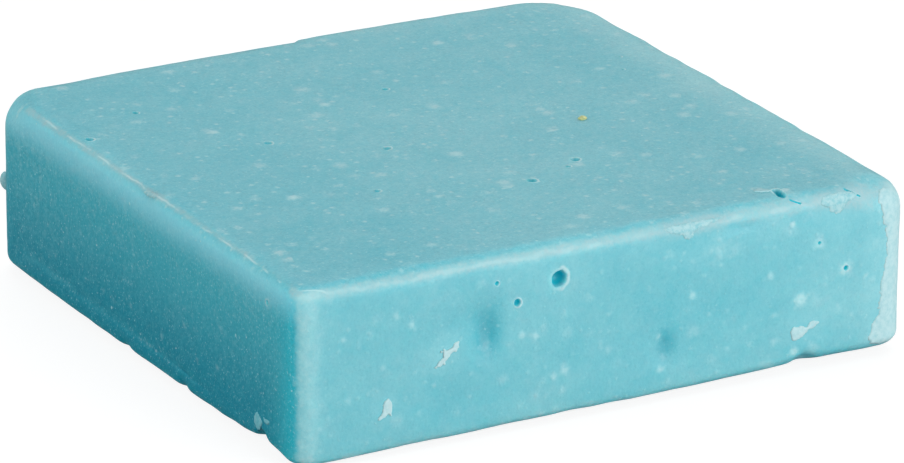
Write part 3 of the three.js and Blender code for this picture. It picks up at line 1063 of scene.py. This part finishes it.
# How much light soaks into the clay, how deep (mm), and the share of that for each colour.
WAXINESS, WAX_DEPTH, WAX_SHARES = 0.8, 4.0, (0.25, 1.0, 1.0)
CLAY_ROUGHNESS, CLAY_GLOSS, CLAY_IOR, CLAY_RELIEF = 0.44, 0.5, 1.46, 0.05


def clay_material():
    graph = Graph("clay")
    speckle = graph.mask("speckle")
    spots = graph.calc("MAXIMUM", graph.specks(2.3, 2.2), graph.specks(1.0, 0.9))
    rubbed = graph.torn_mask("rubbed", graph.ripple(1.0, 0.5, 5.0, 0.75), 0.05, 0.90)
    halo = graph.torn_mask("halo", graph.ripple(0.7, 0.7, 5.0, 0.7), 0.10, 0.85)
    body = graph.painted(
        clay_body(graph, speckle),
        (graph.calc("MULTIPLY", spots, speckle), PALE),
        # Rubbed top edge: real wear, painted greyer as shade for the light its fillet catches.
        (rubbed, RUBBED_AND_SHADED),
        # Halos and pale worn edges; along the front's bottom edge partly painted light.
        (halo, PALE),
        # Painted highlight along the crest of the top edge.
        (crest_highlight_line(graph), HIGHLIGHT_AND_DRY_CLAY),
        # Painted glow inside the openings.
        (graph.mask("deep"), PAINTED_GLOW),
    )
    rough = graph.add(CLAY_ROUGHNESS, graph.noise(0.8, 3.0), 0.16)
    rough = graph.add(rough, rubbed, 0.20, clamp=True)
    gloss = graph.add(CLAY_GLOSS, rubbed, -0.45)
    graph.set(Base_Color=body, Roughness=rough, Specular_IOR_Level=gloss, IOR=CLAY_IOR)
    make_waxy(graph)
    graph.bump(graph.add(graph.noise(0.5, 4.0, 0.6), spots, 0.5), CLAY_RELIEF)
    return graph.material


def clay_body(graph, speckle):
    """The clay's colour under its spots and wear: a pale haze in streaks and clouds, partly real
    bloom and partly a painted sheen; painted shade low on the left face; a painted glow and painted
    light where it is lit from within; fine pale dust; and dark specks painted as the shade of fine
    pits."""
    streaks = graph.ripple(graph.calc("MULTIPLY", speckle, 2.2), 0.8, 6.0, 0.72)
    bloom_and_sheen = graph.calc("ADD", graph.mask("bloom_and_sheen"), streaks)
    bloom_and_sheen = graph.calc("ADD", bloom_and_sheen, graph.ripple(0.3, 5.0, 3.0), clamp=True)
    grain = graph.noise(0.26, 3.0, 0.7)
    dust = graph.opposite(graph.rise(grain, 0.28, 0.42))
    pits = graph.rise(grain, 0.50, 0.72, 0.55)
    return graph.painted(
        CORE,
        # Pale haze: partly real bloom, partly a painted sheen.
        (bloom_and_sheen, BLOOM_AND_SHEEN),
        # Painted shade low on the left face, broken up by the streaks.
        (graph.calc("MULTIPLY", graph.mask("bare"), graph.opposite(streaks)), LOW_LEFT_SHADE),
        # Painted glow of light through the left face's front edge.
        (graph.mask("glow"), PAINTED_GLOW),
        (graph.calc("MULTIPLY", dust, speckle), PALE),
        # Dark specks: painted shade of fine pits.
        (graph.calc("MULTIPLY", pits, speckle), SHADE),
        (graph.mask("lit_edge"), LIT),
    )


def make_waxy(graph):
    """Light soaks a few millimetres into the clay, but not where it is covered by scraps."""
    weight = graph.add(WAXINESS, graph.mask("covered"), -WAXINESS)
    graph.set(Subsurface_Weight=weight, Subsurface_Radius=WAX_SHARES)
    graph.set(Subsurface_Scale=WAX_DEPTH * MM)


def crest_highlight_line(graph):
    """A thin broken painted highlight that wanders along the crest of the top edge."""
    wander = graph.ripple(0.5, 1.8, 3.0)
    away = graph.calc("ABSOLUTE", graph.calc("ADD", graph.mask("crest_turn"), wander))
    line = graph.opposite(graph.rise(away, 0.02, 0.16))
    broken = graph.rise(graph.noise(2.6, 3.0), 0.36, 0.58, 0.60)
    return graph.calc("MULTIPLY", graph.calc("MULTIPLY", line, broken), graph.mask("crest"))


def pale_clay_material():
    """Scraps are too thin for light to soak into, so this clay has none of the block's glow."""
    graph = Graph("pale_clay")
    blotch = graph.rise(graph.noise(0.5, 4.0, 0.65), 0.35, 0.7)
    # On the scraps, the first mask shows their bare core clay and the second their dried, whitest
    # clay: neither paints light or shade.
    body = graph.painted(
        SCRAP_LIGHT, (blotch, SCRAP_DARK), (graph.mask("bare"), CORE), (graph.mask("dry"), HIGHLIGHT_AND_DRY_CLAY)
    )
    rough = graph.add(0.55, graph.noise(0.4), 0.4, clamp=True)
    graph.set(Base_Color=body, Roughness=rough, Specular_IOR_Level=0.2)
    graph.bump(graph.noise(0.3, 3.0, 0.6), 0.05)
    return graph.material


def grit_material():
    graph = Graph("grit")
    blotch = graph.rise(graph.noise(0.25, 3.0), 0.4, 0.65)
    body = graph.blend(blotch, GRIT_LIGHT, GRIT_DARK)
    graph.set(Base_Color=body, Roughness=graph.rise(graph.noise(0.15), 0.1, 1.0, 0.8))
    graph.bump(graph.noise(0.1, 3.0), 0.03)
    return graph.material


# ---- Camera, light and floor ----

# Fitted to the photo's view of the bar: degrees, and millimetres.
CAMERA_AZIMUTH, CAMERA_ELEVATION, CAMERA_ROLL = -29.38, 19.94, 0.39
CAMERA_DISTANCE = 649.4
CAMERA_TARGET = (0.78, -0.45, 7.84)
CAMERA_LENS = 262.8

# How bright the room is apart from its softboxes, and how far away, in metres, each of those is.
ROOM_LIGHT = 0.12
SOFTBOX_DISTANCE = 0.6

# The floor's colour and glow as the camera sees it, and its colour for every other ray.
PAPER, PAPER_GLOW, DIM_PAPER = (0.24, 0.24, 0.24, 1.0), 0.86, (0.34, 0.34, 0.34, 1.0)
WHITE = (1.0, 1.0, 1.0, 1.0)
FLOOR_REACH = 4.0


def direction(azimuth, elevation):
    """The unit vector from the bar towards an azimuth (0 is in front, 90 at the right)."""
    a, e = math.radians(azimuth), math.radians(elevation)
    return Vector((math.sin(a) * math.cos(e), -math.cos(a) * math.cos(e), math.sin(e)))


def facing_back(away):
    """The turn of a camera or a light that looks back along a direction."""
    return away.to_track_quat("Z", "Y").to_matrix().to_4x4()


def add_camera():
    data = bpy.data.cameras.new("camera")
    data.lens = CAMERA_LENS
    data.clip_start, data.clip_end = 0.01, 20.0
    camera = bpy.data.objects.new("camera", data)
    away = direction(CAMERA_AZIMUTH, CAMERA_ELEVATION)
    place = (Vector(CAMERA_TARGET) + CAMERA_DISTANCE * away) * MM
    roll = Matrix.Rotation(math.radians(CAMERA_ROLL), 4, "Z")
    camera.matrix_world = Matrix.Translation(place) @ facing_back(away) @ roll
    bpy.context.scene.collection.objects.link(camera)
    bpy.context.scene.camera = camera


def add_softbox(name, azimuth, elevation, size, power):
    data = bpy.data.lights.new(name, "AREA")
    data.size = size
    data.energy = power
    light = bpy.data.objects.new(name, data)
    away = direction(azimuth, elevation)
    light.matrix_world = Matrix.Translation(away * SOFTBOX_DISTANCE) @ facing_back(away)
    light.visible_camera = False
    bpy.context.scene.collection.objects.link(light)


def camera_or_light(tree, seen, lit):
    """Mixes a shader that is `seen` by the camera with one that is `lit` for every other ray."""
    rays = tree.nodes.new("ShaderNodeLightPath")
    choose = tree.nodes.new("ShaderNodeMixShader")
    tree.links.new(rays.outputs["Is Camera Ray"], choose.inputs[0])
    tree.links.new(lit, choose.inputs[1])
    tree.links.new(seen, choose.inputs[2])
    return choose.outputs[0]


def add_world():
    """A white cyclorama for the camera, and a dim room for the light."""
    world = bpy.data.worlds.new("studio")
    world.use_nodes = True
    tree = world.node_tree
    room = tree.nodes["Background"]
    room.inputs["Color"].default_value = WHITE
    room.inputs["Strength"].default_value = ROOM_LIGHT
    white = tree.nodes.new("ShaderNodeBackground")
    white.inputs["Color"].default_value = WHITE
    surface = camera_or_light(tree, white.outputs[0], room.outputs[0])
    tree.links.new(surface, tree.nodes["World Output"].inputs["Surface"])
    bpy.context.scene.world = world


def make_paper(shader, base_colour):
    shader.inputs["Base Color"].default_value = base_colour
    shader.inputs["Roughness"].default_value = 1.0
    shader.inputs["Specular IOR Level"].default_value = 0.0


def floor_material():
    """White paper that keeps only a faint shadow, and throws little light back up."""
    material = bpy.data.materials.new("floor")
    material.use_nodes = True
    tree = material.node_tree
    dim = tree.nodes["Principled BSDF"]
    make_paper(dim, DIM_PAPER)
    paper = tree.nodes.new("ShaderNodeBsdfPrincipled")
    make_paper(paper, PAPER)
    paper.inputs["Emission Color"].default_value = WHITE
    paper.inputs["Emission Strength"].default_value = PAPER_GLOW
    surface = camera_or_light(tree, paper.outputs[0], dim.outputs[0])
    tree.links.new(surface, tree.nodes["Material Output"].inputs["Surface"])
    return material


def add_floor():
    """A floor just under the bar, so that the two never share a plane."""
    bm = bmesh.new()
    bmesh.ops.create_grid(bm, x_segments=8, y_segments=8, size=FLOOR_REACH)
    mesh = bpy.data.meshes.new("floor")
    bm.to_mesh(mesh)
    bm.free()
    floor = bpy.data.objects.new("floor", mesh)
    floor.location.z = -0.02 * MM
    bpy.context.scene.collection.objects.link(floor)
    mesh.materials.append(floor_material())


# ---- The scene ----

bpy.context.scene.view_settings.view_transform = "Standard"
add_camera()
add_world()
add_floor()
add_softbox("key", azimuth=24, elevation=7, size=0.5, power=5.55)
add_softbox("overhead", azimuth=-20, elevation=80, size=0.5, power=0.2)
add_softbox("rim", azimuth=150, elevation=42, size=0.5, power=1.5)
add_softbox("fill", azimuth=-85, elevation=25, size=0.4, power=2.0)

pale_clay = pale_clay_material()
build_block(clay_material())
build_front_scraps(pale_clay)
build_edge_scraps(pale_clay)
build_notch_crumbs(pale_clay)
build_corner_skin(pale_clay)
build_nodule(pale_clay)
build_grain(grit_material())
